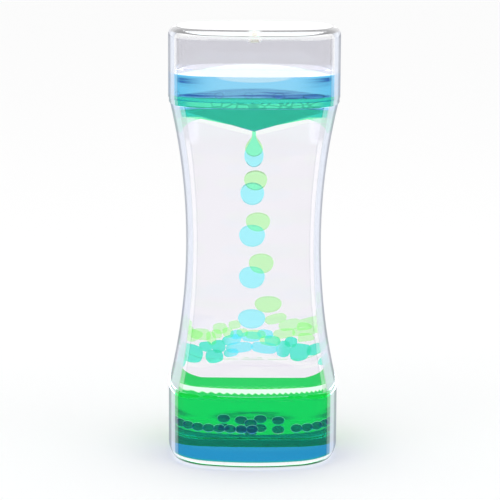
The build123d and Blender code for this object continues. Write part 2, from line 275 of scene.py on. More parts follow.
# Painted shade on the liquid's top face: corners that glow grey, over a dark tint
CORNER_GREY = (0.74, 0.72, 0.79)
CORNER_BODY = (0.02, 0.02, 0.02)
FLOOR_TEAL = (0.02, 0.42, 0.4)
SURFACE_BLUE = (0.03, 0.28, 0.95)
MOTTLE_LIGHT = (0.05, 0.82, 0.3)
MOTTLE_DARK = (0.002, 0.3, 0.07)
SWIRL_DARK = (0.002, 0.2, 0.1)
BEAD_CYAN = (0.34, 0.92, 0.98)
BEAD_TEAL = (0.11, 0.88, 0.66)
# Painted light on the beads: a faint glow, and a painted highlight along the upper outline
BEAD_GLOW = (0.0, 0.02, 0.015)
RIM_GLOW = (0.25, 0.85, 0.6)
RIM_TINT = (0.6, 1.0, 0.8)
# Painted shade: the dark outline of a bubble
BUBBLE_RIM = (0.06, 0.3, 0.36)


def size(name, default, description):
    """A length that can be set in the panel."""
    return bpy.props.FloatProperty(
        name=name, default=default, description=description, unit="LENGTH", precision=5
    )


def share(name, default, description):
    """A plain factor that can be set in the panel."""
    return bpy.props.FloatProperty(name=name, default=default, description=description)


def tint(name, default, description):
    """A colour that can be set in the panel."""
    return bpy.props.FloatVectorProperty(
        name=name, default=default, description=description, subtype="COLOR", min=0, max=1
    )


class TimerShape(bpy.types.PropertyGroup):
    """Sizes of the clear casing."""

    waist_half: size("Waist half width", 0.021, "Half the width at the narrowest place")
    wall: size("Wall", 0.0016, "Thickness of the cups' and the tube's sides")
    end_wall: size("End wall", 0.002, "Thickness of the cups' flat ends")
    edge_radius: size("Edge radius", 0.0028, "Rounding of the cups' outer edges")
    inner_edge_radius: size("Inner edge radius", 0.0012, "Rounding of the rooms' edges")
    clearance: size("Clearance", 0.0001, "Gap between a piece and the wall that holds it")
    seam: size("Seam", 0.00002, "Gap between two liquids that touch")
    plate: size("Plate", 0.0016, "Thickness of the sloping plates")
    edge_drop: size("Edge drop", 0.00045, "From the flange down to the dish's edge")
    side_radius: size("Side radius", 0.06, "Bow of each side")
    corner_radius: size("Corner radius", 0.014, "Rounding of the upright corners")
    tube_corner_radius: size("Tube corner radius", 0.011, "Rounding of the tube's corners")
    round_steps: bpy.props.IntProperty(name="Round steps", default=16, description="Steps a bow")
    tube_steps: bpy.props.IntProperty(name="Tube steps", default=36, description="Rings up the tube")
    nozzle_offset: size("Nozzle offset", 0.0075, "From the divider to each nozzle")
    nozzle_radius: size("Nozzle radius", 0.0008, "Radius of each nozzle's bore")
    slot_width: size("Slot width", 0.0024, "Width of the slots at the dish's ends")
    slot_start: size("Slot start", 0.002, "From the divider's plane to a slot")
    slot_end: size("Slot end", 0.012, "From the divider's plane to a slot's far end")
    slot_gap: size("Slot gap", 0.0002, "Room round a drop that falls through a slot")
    slot_fall: size("Slot fall", 0.0068, "How far a drop falls from a slot")
    plug_radius: size("Plug radius", 0.00125, "Radius of the fill plugs")
    boss_wall: size("Boss wall", 0.0008, "Wall of the bosses that hold the plugs")
    boss_height: size("Boss height", 0.0026, "Depth of the bosses below the ceiling")


class TimerColours(bpy.types.PropertyGroup):
    """Tints of the clear pieces: the share of light that each colour lets through."""

    acrylic: tint("Acrylic", (0.985, 0.985, 0.992), "Clear plastic")
    # A grey tint on the inner walls around the air gap: painted shade
    shaded_dry_wall: tint("Dry wall", (0.65, 0.645, 0.70), "Inner faces that meet the air")
    boss: tint("Bosses", (0.9, 0.89, 0.85), "Bosses that hold the fill plugs")
    plug: tint("Plug", (0.80, 0.77, 0.66), "Fill plugs")
    oil: tint("Oil", (0.985, 0.975, 0.995), "Oil")
    surface: tint("Surface", (0.97, 0.98, 1.0), "Liquid where it meets the air")
    drop_blue: tint("Blue drops", (0.42, 0.96, 1.0), "Falling drops and settled beads")
    drop_green: tint("Green drops", (0.62, 1.0, 0.55), "Falling drops and settled beads")
    froth_blue: tint("Blue froth", (0.05, 0.26, 0.75), "Beads that float on the blue")
    froth_green: tint("Green froth", (0.25, 0.95, 0.45), "Beads that float on the green")
    upper_blue: tint("Upper blue", (0.12, 0.60, 0.93), "Blue liquid in the upper end")
    upper_green: tint("Upper green", (0.16, 0.98, 0.5), "Green liquid in the upper end")
    lower_blue: tint("Lower blue", (0.014, 0.22, 0.88), "Blue liquid in the lower end")
    lower_green: tint("Lower green", (0.004, 0.74, 0.13), "Green liquid in the lower end")


class TimerStage(bpy.types.PropertyGroup):
    """Camera, lamps and surroundings."""

    camera_distance: size("Camera distance", 0.56566, "From the object's axis to the camera")
    camera_height: size("Camera height", 0.16946, "From the table up to the camera")
    camera_pitch: bpy.props.FloatProperty(
        name="Camera pitch", default=math.radians(9.10), description="Downward tilt", unit="ROTATION"
    )
    camera_roll: bpy.props.FloatProperty(
        name="Camera roll", default=math.radians(0.3), description="Sideways tilt", unit="ROTATION"
    )
    focal_pixels: share("Focal length in pixels", 1838.8, "Focal length in the picture's pixels")
    picture_pixels: share("Picture width", 500.0, "Width and height of the picture in pixels")
    axis_across: share("Axis across", 253.72, "Where the camera's axis meets the picture, across")
    axis_down: share("Axis down", 201.12, "Where the camera's axis meets the picture, down")
    floor_size: size("Floor size", 14.0, "Width of the floor")
    sky: share("Sky", 1.0, "Brightness of the surroundings near the horizon")
    high_sky: share("High sky", 0.9, "Brightness of the surroundings overhead")
    reflected_sky: share("Reflected sky", 0.85, "Brightness that reflections see")
    reflected_floor: share("Reflected floor", 0.2, "Brightness of the floor in reflections")
    lamp_power: share("Lamp power", 0.6, "Power of the main lamp")


def shape():
    """The casing's sizes."""
    return bpy.context.scene.timer_shape


def colours():
    """The tints."""
    return bpy.context.scene.timer_colours


def stage():
    """The stage's settings."""
    return bpy.context.scene.timer_stage


def ceiling():
    """Height of the upper end's ceiling."""
    return top - shape().end_wall


def at_end(end, z):
    """A height in the upper end, or the same place in the lower end where end is -1."""
    return middle + end * (z - middle)


def slope():
    """Rise of the valley for each step sideways."""
    s = shape()
    edge = flange_under - s.edge_drop
    return (edge - valley_room_bottom + s.clearance) / (dish_room_half + s.clearance)


def tube_half(z):
    """Outside half width of the tube at a height."""
    sagitta = tube_end_half - shape().waist_half
    reach = (tube_high.z - tube_low.z) / 2
    radius = (reach**2 + sagitta**2) / (2 * sagitta)
    return shape().waist_half + radius - math.sqrt(radius**2 - (z - middle) ** 2)


def tube_heights():
    """Heights of the rings that the tube is built from."""
    count = shape().tube_steps
    return [tube_low.z + (tube_high.z - tube_low.z) * n / count for n in range(count + 1)]


def rounded(half, z, radius):
    """Quarter round of (half width, height) pairs, with a close pair before and after it."""
    guard = radius / 8
    steps = 8
    pairs = [(half, z - radius - guard)]
    for step in range(steps + 1):
        turn = math.pi / 2 * step / steps
        pairs.append((half - radius * (1 - math.cos(turn)), z - radius * (1 - math.sin(turn))))
    return pairs + [(half - radius - guard, z)]


# Modelling steps


def deselect():
    """Leave object mode ready with nothing selected."""
    if bpy.context.mode != "OBJECT":
        bpy.ops.object.mode_set(mode="OBJECT")
    bpy.ops.object.select_all(action="DESELECT")


def pick(*pieces):
    """Select only these pieces, with the first one active."""
    deselect()
    for piece in pieces:
        piece.select_set(True)
    bpy.context.view_layer.objects.active = pieces[0]


def edit(piece):
    """Open a piece in edit mode with all of it selected."""
    pick(piece)
    bpy.ops.object.mode_set(mode="EDIT")
    bpy.ops.mesh.select_all(action="SELECT")


def end_edit():
    """Go back to object mode."""
    bpy.ops.object.mode_set(mode="OBJECT")


def apply_place():
    """Bring the active piece's place, turn and scale into its mesh."""
    bpy.ops.object.transform_apply(location=True, rotation=True, scale=True)


def raise_rings(profile):
    """Extrude the selected ring through (half width, height) pairs."""
    for (half, z), (next_half, next_z) in zip(profile, profile[1:]):
        bpy.ops.mesh.extrude_region_move(TRANSFORM_OT_translate={"value": (0, 0, next_z - z)})
        grow = next_half / half
        bpy.ops.transform.resize(value=(grow, grow, 1), center_override=(0, 0, next_z))


def settle(piece):
    """Merge doubles, turn the faces outwards and bring the piece's place into its mesh."""
    pick(piece)
    apply_place()
    edit(piece)
    bpy.ops.mesh.remove_doubles(threshold=MERGE_DISTANCE)
    bpy.ops.mesh.normals_make_consistent(inside=False)
    end_edit()


def arc_handle(turn):
    """Handle length of an arc of this turn, as a share of its radius."""
    return 4 / 3 * math.tan(turn / 4)


def bow_outline(spline, half, corner_radius):
    """Move a ring's eight points so that wide bows and tight corners follow each other."""
    s = shape()
    grow = half / cup_half
    reach = s.side_radius - corner_radius
    offset = s.side_radius - cup_half
    corner = (math.sqrt(2 * reach**2 - offset**2) - offset) / 2
    lean = math.atan2(corner, corner + offset)
    across = s.side_radius * math.sin(lean)
    out = s.side_radius * math.cos(lean) - offset
    bow = s.side_radius * arc_handle(2 * lean)
    tight = corner_radius * arc_handle(math.pi / 2 - 2 * lean)
    for number, point in enumerate(spline.bezier_points):
        point.handle_left_type = "FREE"
        point.handle_right_type = "FREE"
        turn = Matrix.Rotation(math.pi / 2 * (number // 2), 3, "Z")
        sign = 1 if number % 2 else -1
        place = Vector((out, sign * across, 0)) * grow
        ahead = Vector((-sign * math.sin(lean), math.cos(lean), 0)) * grow
        before, after = (bow, tight) if number % 2 else (tight, bow)
        point.co = turn @ place
        point.handle_left = turn @ (place - ahead * before)
        point.handle_right = turn @ (place + ahead * after)


def cushion_solid(name, profile, hollow=False, tube=False):
    """Solid with bowed sides and round corners through (half width, height) pairs."""
    deselect()
    half, z = profile[0]
    bpy.ops.curve.primitive_bezier_circle_add(radius=half, location=(0, 0, z))
    outline = bpy.context.object
    bpy.ops.object.mode_set(mode="EDIT")
    bpy.ops.curve.select_all(action="SELECT")
    bpy.ops.curve.subdivide()
    end_edit()
    corner_radius = shape().tube_corner_radius if tube else shape().corner_radius
    bow_outline(outline.data.splines[0], half, corner_radius)
    outline.data.resolution_u = shape().round_steps
    bpy.ops.object.convert(target="MESH")
    piece = bpy.context.object
    piece.name = name
    apply_place()
    edit(piece)
    if not hollow:
        bpy.ops.mesh.edge_face_add()
    raise_rings(profile)
    if hollow:
        bpy.ops.mesh.select_all(action="DESELECT")
        bpy.ops.mesh.select_non_manifold()
        bpy.ops.mesh.bridge_edge_loops()
    settle(piece)
    return piece


def round_solid(name, profile, place, segments=ROUND_SEGMENTS):
    """Solid with a round outline through (radius, height) pairs, at a place."""
    deselect()
    radius, z = profile[0]
    bpy.ops.mesh.primitive_circle_add(
        vertices=segments, radius=radius, fill_type="NGON", location=(0, 0, z)
    )
    piece = bpy.context.object
    piece.name = name
    apply_place()
    edit(piece)
    raise_rings(profile)
    bpy.ops.mesh.select_all(action="SELECT")
    bpy.ops.transform.translate(value=(place[0], place[1], 0))
    settle(piece)
    return piece


def box_solid(name, low, high):
    """Block between two corners."""
    deselect()
    low, high = Vector(low), Vector(high)
    bpy.ops.mesh.primitive_cube_add(size=1, location=(low + high) / 2)
    piece = bpy.context.object
    piece.name = name
    piece.scale = high - low
    apply_place()
    return piece


def cut(piece, point, normal, fill=True, clear=True):
    """Cut along a plane, and take away what lies on the side that the normal points to."""
    edit(piece)
    bpy.ops.mesh.bisect(plane_co=point, plane_no=normal, use_fill=fill, clear_outer=clear)
    end_edit()


def cut_valley(piece, end, lift):
    """Keep what lies on the room's side of the valley, raised by a lift."""
    point = (0, 0, at_end(end, valley_room_bottom - shape().clearance + lift))
    for side in (-1, 1):
        cut(piece, point, (side * slope(), 0, -end))


def combine(piece, tool, operation):
    """Cut a tool shape out of a piece, or add it."""
    pick(piece)
    bpy.ops.object.modifier_add(type="BOOLEAN")
    modifier = piece.modifiers[-1]
    modifier.operation = operation
    modifier.solver = "EXACT"
    modifier.object = tool
    bpy.ops.object.modifier_apply(modifier=modifier.name)
    bpy.data.objects.remove(tool)


def centre_and_half(low, high):
    """Middle of a box, and half its sizes."""
    return (low + high) / 2, (high - low) / 2


def copy_of(piece, name):
    """Second piece of the same shape, with its own mesh."""
    pick(piece)
    bpy.ops.object.duplicate()
    twin = bpy.context.object
    twin.name = name
    return twin


def turn_over(piece):
    """Turn a piece upside down about the timer's middle."""
    edit(piece)
    bpy.ops.transform.resize(value=(1, 1, -1), center_override=(0, 0, middle))
    bpy.ops.mesh.normals_make_consistent(inside=False)
    end_edit()


def join_all(name, pieces):
    """Join loose beads into one piece."""
    pick(*pieces)
    if len(pieces) > 1:
        bpy.ops.object.join()
    joined = bpy.context.object
    joined.name = name
    return joined


def complete(piece, node, slot, finishes, choose=None, angle=SMOOTH_ANGLE, rides=body):
    """Shade a piece, give its faces their finishes and hand it to the frame."""
    settle(piece)
    piece.data.name = piece.name
    bpy.ops.object.shade_smooth_by_angle(angle=angle)
    piece.data.materials.clear()
    for finish in finishes:
        piece.data.materials.append(finish)
    if choose:
        for face in piece.data.polygons:
            face.material_index = choose(face.center, face.normal)
    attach(piece, rides)
    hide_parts(node)


def outward(centre, normal):
    """Positive where a face looks away from the timer's axis, negative where it looks to it."""
    return centre.x * normal.x + centre.y * normal.y


# Finishes


class Amount:
    """A shader value that can be used in plain arithmetic."""

    def __init__(self, finish, socket):
        self.finish = finish
        self.socket = socket

    def combine(self, operation, first, second):
        made = self.finish.node("ShaderNodeMath", {"operation": operation}, {0: first, 1: second})
        return Amount(self.finish, made.outputs[0])

    def __add__(self, other):
        return self.combine("ADD", self, other)

    def __sub__(self, other):
        return self.combine("SUBTRACT", self, other)

    def __rsub__(self, other):
        return self.combine("SUBTRACT", other, self)

    def __mul__(self, other):
        return self.combine("MULTIPLY", self, other)

    __radd__ = __add__
    __rmul__ = __mul__


class Finish:
    """A node tree that is built up node by node."""

    def __init__(self, tree):
        self.tree = tree

    def node(self, kind, settings=None, sockets=None):
        made = self.tree.nodes.new(kind)
        for name, value in (settings or {}).items():
            setattr(made, name, value)
        for name, value in (sockets or {}).items():
            self.feed(made.inputs[name], value)
        return made

    def feed(self, socket, value):
        if isinstance(value, Amount):
            value = value.socket
        if isinstance(value, bpy.types.NodeSocket):
            self.tree.links.new(value, socket)
        elif socket.type == "RGBA":
            socket.default_value = (*value[:3], 1)
        else:
            socket.default_value = value

    def put(self, name, value):
        """Set one of the surface's inputs."""
        self.feed(self.tree.nodes["Principled BSDF"].inputs[name], value)

    def amount(self, socket):
        return Amount(self, socket)

    def parts(self, vector):
        """Three amounts of a vector."""
        split = self.node("ShaderNodeSeparateXYZ", {}, {0: vector})
        return [self.amount(socket) for socket in split.outputs]

    def point(self):
        return self.node("ShaderNodeTexCoord").outputs["Object"]

    def place(self):
        """Object coordinates as three amounts."""
        return self.parts(self.point())

    def upward(self):
        """Height of the surface's normal: 1 where the surface faces up."""
        return self.parts(self.node("ShaderNodeNewGeometry").outputs["Normal"])[2]

    def outside(self):
        """1 where the surface is seen from outside, 0 from within."""
        return 1 - self.amount(self.node("ShaderNodeNewGeometry").outputs["Backfacing"])

    def facing(self):
        """0 where the surface faces the viewer, 1 where it turns away."""
        return self.amount(self.node("ShaderNodeLayerWeight", {}, {"Blend": 0.5}).outputs["Facing"])

    def pattern(self, scale, kind="Noise", output="Fac", settings=None, detail=None):
        """Noise or cells, finer along the axes with a larger scale."""
        spread = self.node("ShaderNodeMapping", {}, {"Vector": self.point(), "Scale": scale})
        sockets = {"Vector": spread.outputs[0], "Scale": 1.0}
        if detail:
            sockets["Detail"] = detail
        made = self.node("ShaderNodeTex" + kind, settings, sockets)
        return self.amount(made.outputs[output])

    def smooth(self, value, low, high):
        """0 below the low value, 1 above the high one, and smooth between."""
        made = self.node(
            "ShaderNodeMapRange",
            {"interpolation_type": "SMOOTHSTEP"},
            {"Value": value, "From Min": low, "From Max": high},
        )
        return self.amount(made.outputs["Result"])

    def band(self, value, start, full, fade, gone):
        """1 between two soft edges, and 0 outside them."""
        return self.smooth(value, start, full) - self.smooth(value, fade, gone)

    def blend(self, share, first, second):
        """Mix of two colours."""
        made = self.node(
            "ShaderNodeMix", {"data_type": "RGBA"}, {"Factor": share, "A": first, "B": second}
        )
        return made.outputs[2]

    def glow(self, colour, strength=None):
        """Light that the surface gives off."""
        self.put("Emission Color", colour)
        if strength is not None:
            self.put("Emission Strength", strength)


def new_finish(name):
    """Fresh material, and its node tree."""
    material = bpy.data.materials.new(name)
    material.use_nodes = True
    return material, Finish(material.node_tree)


def cloudy(finish, colour):
    """Faint unevenness that every clear piece has."""
    cloud = finish.pattern(CLOUD_GRAIN, detail=2.0)
    pale = [c + CLOUD_PALE * (1 - c) for c in colour]
    return finish.blend(cloud, [CLOUD_DARK * c for c in colour], pale)


def clear_finish(name, colour, refraction, glow=0.0, paint=cloudy):
    """Clear material: light passes with a tint, and bends by a refraction ratio."""
    known = bpy.data.materials.get(name)
    if known:
        return known
    material, finish = new_finish(name)
    # The plain tint stays for viewers that can't follow the nodes
    finish.put("Base Color", colour)
    finish.put("Transmission Weight", 1.0)
    finish.put("Roughness", 0.0)
    finish.put("IOR", refraction)
    finish.glow(colour, glow)
    finish.put("Base Color", paint(finish, colour))
    return material


def at_least(least, share):
    """A share that is squeezed into what lies between a least value and 1."""
    return least + (1 - least) * share


def cover(finish, share, colour, glow, wall):
    """Lay a glowing patch over what a wall shows from outside."""
    share = share * finish.outside() * (1 - wall)
    return finish.blend(share, glow, colour), wall + share


def tube_painted_light(finish, tilt, glow, wall):
    """Painted light: a pale glowing ring with a scalloped lower edge, green where the froth's
    scallops lie, and pale glowing corners under the upper flange that hide the green behind them.
    """
    across, depth, up = finish.place()
    above = up - tube_low.z
    turns = (across + depth) * (math.pi / SCALLOP_PITCH)
    wave = finish.amount(finish.node("ShaderNodeMath", {"operation": "SINE"}, {0: turns}).outputs[0])
    edge = above - wave * wave * SCALLOP_RISE
    # Painted light: a pale ring low on the tube, green along its scalloped edge where the froth lies
    ring = finish.smooth(edge, *RING_FOOT) - finish.smooth(above, *RING_TOP)
    tints = finish.blend(finish.band(edge, *RING_FOOT, *FROTH_TOP), RING_GLOW, FROTH_GLOW)
    glow, wall = cover(finish, ring * RING_COVER, tints, glow, wall)
    # Painted light: pale corners under the upper flange that hide the green shoulder
    corner = finish.band(tube_high.z - up, *SHOULDER_EDGES)
    corner = corner * finish.smooth(across * across, *SHOULDER_SIDES)
    return cover(finish, corner * SHOULDER_COVER, SHOULDER_GLOW, glow, wall)


def cup_painted_light(finish, tilt, glow, wall):
    """Painted light: a pale glowing foot on the bottom cup, and a painted sheen on the flat top."""
    up = finish.place()[2]
    # Painted light: a pale glowing foot low on the bottom cup
    foot = 1 - finish.smooth(up, *FOOT_EDGES)
    glow, wall = cover(finish, foot * FOOT_COVER, FOOT_GLOW, glow, wall)
    # Painted sheen on the flat top
    lid = finish.smooth(tilt, *LID_TILT) * finish.outside()
    return finish.blend(lid, glow, LID_GLOW), wall


def edge_light_and_shade(start, inner, places):
    """Painted light and shade that give upright walls pale glowing bands and grey lines near their
    outline, over a dark body that hides what lies behind, with a painted highlight on the rounded
    brow.
    """

    def paint(finish, colour):
        facing = finish.facing()
        tilt = finish.upward()
        upright = 1 - finish.smooth(tilt * tilt, *WALL_TILT)
        wall = finish.smooth(facing, start, start + VEIL_SOFTNESS) * OUTER_VEIL
        deep = finish.smooth(facing, inner, inner + INNER_SOFTNESS) * (1 - OUTER_VEIL)
        wall = (wall + deep) * upright
        line = (start - VEIL_SOFTNESS, start, start + THIN_WIDTH, start + INNER_SOFTNESS)
        thin = finish.band(facing, *line)
        # Painted light and shade: the glow goes from pale to bluish, with grey lines towards the
        # outline
        shade = finish.blend(finish.smooth(facing, *BLUISH_EDGE), WALL_PALE, WALL_BLUISH)
        shade = finish.blend(finish.band(facing, *SECOND_LINE) * SECOND_COVER, shade, SECOND_GREY)
        shade = finish.blend(finish.smooth(facing, *OUTLINE_EDGE), shade, OUTLINE_GREY)
        # Painted highlight on the rounded brow
        brow = finish.band(tilt, *BROW_TILT)
        glow = finish.blend(brow * BROW_COVER, NO_GLOW, BROW_GLOW)
        glow = finish.blend(wall * WALL_COVER, glow, shade)
        glow, wall = places(finish, tilt, glow, wall)
        finish.glow(glow, 1.0)
        # A thin grey line of painted shade, and a dark body under the glowing bands: painted shade
        lined = finish.blend(thin * upright * THIN_COVER, colour, THIN_GREY)
        return finish.blend(wall, lined, WALL_BODY)

    return paint


def outer_finish(name="acrylic_outside", bands=CUP_BANDS, places=cup_painted_light):
    """Outer faces of the cups and flanges, or of the tube, whose thick corners show wide bands of
    painted light and shade.
    """
    paint = edge_light_and_shade(*bands, places)
    return clear_finish(name, colours().acrylic, ACRYLIC_TO_AIR, paint=paint)


def wet_finish():
    """Faces of the clear plastic that meet liquid, where it nearly disappears."""
    material = bpy.data.materials.get("acrylic_wet_inside")
    if not material:
        material, finish = new_finish("acrylic_wet_inside")
        finish.put("Alpha", 0.0)
    return material


def plug_finish():
    """Cream plastic with a soft mottle, and a painted glow that stands in for the light reaching it
    through the clear boss.
    """
    material, finish = new_finish("cream_plastic")
    cloud = finish.pattern(PLUG_GRAIN, detail=3.0)
    light = tuple(colours().plug)
    cream = finish.blend(cloud, [PLUG_DARK * c for c in light], light)
    finish.put("Base Color", cream)
    finish.put("Roughness", PLUG_ROUGHNESS + PLUG_UNEVENNESS * cloud)
    # Painted light: the plug glows as if lit through the clear boss
    finish.glow(cream, PLUG_GLOW)
    return material


# Casing


def cup_profile(end):
    """Outline of a cup's wall from the middle of its ceiling, round the rim, to its end face."""
    s = shape()
    inner = cup_half - s.wall
    inside = rounded(inner, ceiling(), s.inner_edge_radius)[::-1]
    outside = rounded(cup_half, top, s.edge_radius)
    pairs = inside + [(inner, liquid_top), (inner, ledge), (cup_half, ledge)] + outside
    return [(half, at_end(end, z)) for half, z in pairs]


def boss_profile():
    """Outline of a boss from its rounded lower edge up into the end wall."""
    s = shape()
    radius = s.plug_radius + s.clearance + s.boss_wall
    low = ceiling() - s.boss_height
    fillet = s.clearance * 3
    return [
        (radius - fillet, low),
        (radius - fillet * ROUNDING_CUT, low + fillet * ROUNDING_CUT),
        (radius, low + fillet),
        (radius, top - s.end_wall / 2),
    ]


class TIMER_OT_cups(bpy.types.Operator):
    """Top and bottom cups, the top one with bosses for the fill plugs."""

    bl_idname = "timer.cups"
    bl_label = "Cups"
    bl_options = {"REGISTER", "UNDO"}

    def execute(self, context):
        s = shape()
        outer, dry, wet, flat_inside, boss_outside = range(5)

        def near_boss(centre):
            return max(abs(centre.x), abs(centre.y)) < s.nozzle_offset * 2

        def faces_room(centre, normal):
            away = abs(centre.z - middle)
            flat = (centre.z - middle) * normal.z < 0 and abs(normal.z) > LEVEL
            inside = near_boss(centre) or outward(centre, normal) < 0 or flat
            return away < ceiling() - middle + s.seam and inside

        def upper(centre, normal):
            if not faces_room(centre, normal):
                return outer
            if centre.z < liquid_top:
                return wet
            if near_boss(centre) and centre.z < ceiling() - s.seam:
                return boss_outside
            return flat_inside if near_boss(centre) or abs(normal.z) > ROUNDED_EDGE else dry

        def lower(centre, normal):
            return wet if faces_room(centre, normal) else outer

        top_cup = cushion_solid("top_cup_clear", cup_profile(1))
        bore = s.plug_radius + s.clearance
        low = ceiling() - s.boss_height
        for side in (-1, 1):
            place = (0, side * s.nozzle_offset)
            combine(top_cup, round_solid("boss", boss_profile(), place), "UNION")
            drill = round_solid("drill", [(bore, low - s.wall), (bore, top + s.wall)], place)
            combine(top_cup, drill, "DIFFERENCE")
        c = colours()
        finishes = [
            outer_finish(),
            # The inner walls around the air gap are tinted grey: painted shade
            clear_finish("acrylic_dry_inside", c.shaded_dry_wall, ACRYLIC_TO_AIR),
            wet_finish(),
            clear_finish("acrylic_ceiling", c.acrylic, ACRYLIC_TO_AIR),
            # The bosses glow faintly: painted light
            clear_finish("acrylic_boss", c.boss, ACRYLIC_TO_AIR, BOSS_GLOW),
        ]
        complete(top_cup, "top_cup", "clear_acrylic", finishes, upper)
        bottom_cup = cushion_solid("bottom_cup_clear", cup_profile(-1))
        complete(bottom_cup, "bottom_cup", "clear_acrylic", finishes, lower)
        return {"FINISHED"}


class TIMER_OT_plugs(bpy.types.Operator):
    """Cream plugs that close the two fill holes."""

    bl_idname = "timer.plugs"
    bl_label = "Fill plugs"
    bl_options = {"REGISTER", "UNDO"}

    def execute(self, context):
        s = shape()
        finish = plug_finish()
        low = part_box("front_fill_plug")[0].z
        edge = s.clearance * 2
        dent = s.plug_radius * DENT_SHARE
        profile = [
            (s.plug_radius - edge * 2, low),
            (s.plug_radius, low + edge * 2),
            (s.plug_radius, top - edge),
            (s.plug_radius - edge / 2, top - edge / 4),
            (s.plug_radius - edge, top),
            (dent + edge, top),
            (dent, top - edge / 2),
            (dent - edge, top - edge * 2),
        ]
        for name, side in (("front_fill_plug", -1), ("rear_fill_plug", 1)):
            plug = round_solid(name + "_cream", profile, (0, side * s.nozzle_offset))
            complete(plug, name, "cream_plug", [finish], angle=PLUG_ANGLE)
        return {"FINISHED"}


class TIMER_OT_tube(bpy.types.Operator):
    """Front and rear shells of the hourglass tube."""

    bl_idname = "timer.tube"
    bl_label = "Tube shells"
    bl_options = {"REGISTER", "UNDO"}

    def execute(self, context):
        s = shape()
        outside = [(tube_half(z), z) for z in tube_heights()]
        inside = [(half - s.wall, z) for half, z in outside]
        front = cushion_solid("front_shell_clear", inside + outside[::-1], True, True)
        rear = copy_of(front, "rear_shell_clear")
        cut(front, (0, 0, 0), (0, 1, 0))
        cut(rear, (0, 0, 0), (0, -1, 0))
        finishes = [outer_finish("tube_outside", TUBE_BANDS, tube_painted_light), wet_finish()]

        def choose(centre, normal):
            flat_end = abs(normal.z) > LEVEL or abs(centre.y) < s.seam
            return 0 if outward(centre, normal) > 0 and not flat_end else 1

        complete(front, "front_shell", "clear_acrylic", finishes, choose)
        complete(rear, "rear_shell", "clear_acrylic", finishes, choose)
        return {"FINISHED"}


class TIMER_OT_plates(bpy.types.Operator):
    """Drip plates with their flanges, dishes, nozzles and slots."""

    bl_idname = "timer.plates"
    bl_label = "Drip plates"
    bl_options = {"REGISTER", "UNDO"}

    def execute(self, context):
        s = shape()
        low = plate_low.z - s.plate
        steps = 8
        rim = [low + (flange_under - low) * n / steps for n in range(steps + 1)]
        profile = [(tube_half(z) - s.wall - s.clearance, z) for z in rim]
        profile += [(tube_end_half, flange_under), (flange_half, flange_under)]
        profile += [(flange_half, ledge)]
        plate = cushion_solid("upper_drip_plate_clear", profile)
        cut_valley(plate, 1, -s.plate)
        dish_half = dish_room_half + s.clearance
        dish = cushion_solid("dish", [(dish_half, low), (dish_half, ledge + s.plate)])
        cut_valley(dish, 1, 0)
        combine(plate, dish, "DIFFERENCE")
        for side in (-1, 1):
            near, far = sorted((side * s.slot_start, side * s.slot_end))
            for end in (-1, 1):
                ends = (end * (dish_half - s.slot_width), end * dish_half * SLOT_REACH)
                slot = box_solid(
                    "slot", (min(ends), near, low), (max(ends), far, ledge + s.plate)
                )
                combine(plate, slot, "DIFFERENCE")
            place = (0, side * s.nozzle_offset)
            bore = [(s.nozzle_radius, low), (s.nozzle_radius, ledge)]
            drill = round_solid("drill", bore, place, NOZZLE_SEGMENTS)
            combine(plate, drill, "DIFFERENCE")
        lower = copy_of(plate, "lower_drip_plate_clear")
        turn_over(lower)
        finishes = [outer_finish(), wet_finish()]

        def choose(centre, normal):
            away = abs(centre.z - middle)
            on_rim = flange_under - middle - s.seam < away < ledge - middle + s.seam
            on_side = on_rim and outward(centre, normal) > 0 and abs(normal.z) < UPRIGHT
            foot = abs(away - (flange_under - middle)) < s.seam
            wide = max(abs(centre.x), abs(centre.y)) > tube_end_half - s.wall / 2
            return 0 if on_side or (foot and wide) else 1

        complete(plate, "upper_drip_plate", "clear_acrylic", finishes, choose)
        complete(lower, "lower_drip_plate", "clear_acrylic", finishes, choose)
        return {"FINISHED"}


# Rooms, liquids and oil


def full_room(name, end):
    """The whole room of an end, with rounded edges at its flat end."""
    s = shape()
    pairs = [
        (dish_room_half, plate_low.z - s.plate),
        (dish_room_half, ledge + s.clearance),
        (room_half, ledge + s.clearance),
    ]
    pairs += rounded(room_half, ceiling() - s.clearance, s.inner_edge_radius)
    room = cushion_solid(name, [(half, at_end(end, z)) for half, z in pairs])
    cut_valley(room, end, s.clearance)
    return room


def tube_room(name):
    """Room inside the tube between the two sloping plates."""
    s = shape()
    profile = [(tube_half(z) - s.wall - s.clearance, z) for z in tube_heights()]
    room = cushion_solid(name, profile, tube=True)
    for end in (-1, 1):
        heights = (plate_low.z - s.plate, ledge)
        block = cushion_solid("valley_block", [(cup_half, at_end(end, z)) for z in heights])
        cut_valley(block, end, -s.plate - s.clearance)
        combine(room, block, "DIFFERENCE")
    return room


def chamber_part(room, side):
    """Keep the front chamber's part of a room, where side is -1, or the rear one's."""
    cut(room, (0, side * divider_room, 0), (0, -side, 0))
    return room


def liquid(name, end, side, low=None, high=None):
    """Liquid of one chamber between two heights."""
    room = chamber_part(full_room(name, end), side)
    if high is not None:
        cut(room, (0, 0, high), (0, 0, 1))
    if low is not None:
        cut(room, (0, 0, low), (0, 0, -1))
    return room


def surface_at(level):
    """Chooser for a liquid whose top face meets air or oil at a level."""

    def choose(centre, normal):
        return 1 if normal.z > LEVEL and abs(centre.z - level) < shape().seam else 0

    return choose


